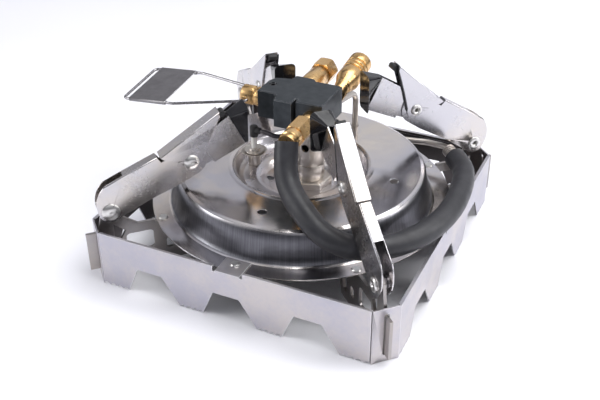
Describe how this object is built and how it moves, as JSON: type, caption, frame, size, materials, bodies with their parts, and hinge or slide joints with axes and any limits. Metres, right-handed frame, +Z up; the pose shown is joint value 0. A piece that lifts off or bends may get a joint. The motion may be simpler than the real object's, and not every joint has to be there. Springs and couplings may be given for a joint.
{
  "type": "folding gas stove",
  "caption": "Folding camping gas stove stowed on its square windshield, with hinged legs, a burner, a remote valve block and a rubber hose.",
  "frame": {"origin": "centre of the square windshield, in the plane of the pot-support tooth tips, on which the stowed stove stands", "axes": "+Z up as stowed, away from the pot; +X and +Y along the windshield's sides, the bail handle towards -X, the canister port towards +Y"},
  "size_m": [0.2282, 0.2, 0.1146],
  "materials": {
    "wall_steel": "satin",
    "polished_steel": "mirror polished",
    "leg_steel": "polished",
    "shoe_black": "gloss",
    "black_rubber": "matte",
    "rivet_steel": "bright",
    "nickel": "satin",
    "brass": "turned, bright",
    "cast_burner": "cast",
    "ceramic": "glazed",
    "black_plastic": "matte",
    "lead_sheath": "satin",
    "hose_rubber": "matte",
    "black_anodised": "black anodised",
    "flag_steel": "dark satin"
  },
  "bodies": {
    "stove": {"burner_cap": "cast_burner", "burner_head": "cast_burner", "canister_collar": "brass", "canister_seal": "black_rubber", "corner_bracket_back": "wall_steel", "corner_bracket_front": "wall_steel", "corner_bracket_left": "wall_steel", "corner_bracket_right": "wall_steel", "drip_pan": "polished_steel", "gas_tube": "nickel", "hinge_rivets": "rivet_steel", "hose_ferrule": "nickel", "hose_fitting": "brass", "igniter_ceramic": "ceramic", "igniter_collar": "nickel", "igniter_lead": "lead_sheath", "jet_holder": "brass", "lead_boot": "black_rubber", "mixing_tube": "nickel", "neck_collar": "nickel", "neck_nut": "nickel", "pan_rivets": "polished_steel", "piezo_unit": "black_plastic", "port_screw": "rivet_steel", "rubber_hose": "hose_rubber", "spark_wire": "rivet_steel", "valve_body": "black_anodised", "valve_bonnet": "brass", "windshield_back": "wall_steel", "windshield_front": "wall_steel", "windshield_left": "wall_steel", "windshield_right": "wall_steel"},
    "arm_left": {"leg_arm_left": "leg_steel", "knee_saddle_left": "leg_steel", "knee_bumper_left": "black_rubber", "knee_rivet_left": "rivet_steel"},
    "foot_left": {"leg_foot_left": "leg_steel", "foot_shoe_left": "shoe_black"},
    "arm_front": {"leg_arm_front": "leg_steel", "knee_saddle_front": "leg_steel", "knee_bumper_front": "black_rubber", "knee_rivet_front": "rivet_steel"},
    "foot_front": {"leg_foot_front": "leg_steel", "foot_shoe_front": "shoe_black"},
    "arm_right": {"leg_arm_right": "leg_steel", "knee_saddle_right": "leg_steel", "knee_bumper_right": "black_rubber", "knee_rivet_right": "rivet_steel"},
    "foot_right": {"leg_foot_right": "leg_steel", "foot_shoe_right": "shoe_black"},
    "arm_back": {"leg_arm_back": "leg_steel", "knee_saddle_back": "leg_steel", "knee_bumper_back": "black_rubber", "knee_rivet_back": "rivet_steel"},
    "foot_back": {"leg_foot_back": "leg_steel", "foot_shoe_back": "shoe_black"},
    "spindle": {"valve_spindle": "brass"},
    "bail": {"bail_wire": "rivet_steel", "bail_flag": "flag_steel"},
    "button": {"igniter_button": "black_plastic"}
  },
  "joints": [
    {"name": "leg_left_swing", "type": "hinge", "parent": "stove", "child": "arm_left", "pos_m": [-0.08662, -0.08662, 0.0465], "axis": [0.7071, -0.7071, 0], "range_deg": [0, 94]},
    {"name": "foot_left_fold", "type": "hinge", "parent": "arm_left", "child": "foot_left", "pos_m": [-0.05052, -0.05052, 0.0714], "axis": [0.7071, -0.7071, 0], "range_deg": [-14, 0]},
    {"name": "leg_front_swing", "type": "hinge", "parent": "stove", "child": "arm_front", "pos_m": [0.08662, -0.08662, 0.0465], "axis": [0.7071, 0.7071, 0], "range_deg": [0, 82]},
    {"name": "foot_front_fold", "type": "hinge", "parent": "arm_front", "child": "foot_front", "pos_m": [0.05497, -0.05497, 0.08147], "axis": [0.7071, 0.7071, 0], "range_deg": [-14, 14]},
    {"name": "leg_right_swing", "type": "hinge", "parent": "stove", "child": "arm_right", "pos_m": [0.08662, 0.08662, 0.0465], "axis": [-0.7071, 0.7071, 0], "range_deg": [0, 84]},
    {"name": "foot_right_fold", "type": "hinge", "parent": "arm_right", "child": "foot_right", "pos_m": [0.05413, 0.05413, 0.07989], "axis": [-0.7071, 0.7071, 0], "range_deg": [-14, 10]},
    {"name": "leg_back_swing", "type": "hinge", "parent": "stove", "child": "arm_back", "pos_m": [-0.08662, 0.08662, 0.0465], "axis": [-0.7071, -0.7071, 0], "range_deg": [0, 90]},
    {"name": "foot_back_fold", "type": "hinge", "parent": "arm_back", "child": "foot_back", "pos_m": [-0.05184, 0.05184, 0.0749], "axis": [-0.7071, -0.7071, 0], "range_deg": [-14, 4]},
    {"name": "valve_turn", "type": "hinge", "parent": "stove", "child": "spindle", "pos_m": [-0.026, 0.003, 0.093], "axis": [-1, 0, 0], "range_deg": [0, 360]},
    {"name": "bail_flip", "type": "hinge", "parent": "spindle", "child": "bail", "pos_m": [-0.036, 0.003, 0.093], "axis": [0, 0.9945, 0.1045], "range_deg": [0, 95]},
    {"name": "igniter_press", "type": "slide", "parent": "stove", "child": "button", "axis": [0, 0, -1], "range_m": [0, 0.003], "stiffness_N_per_m": 1000}
  ]
}
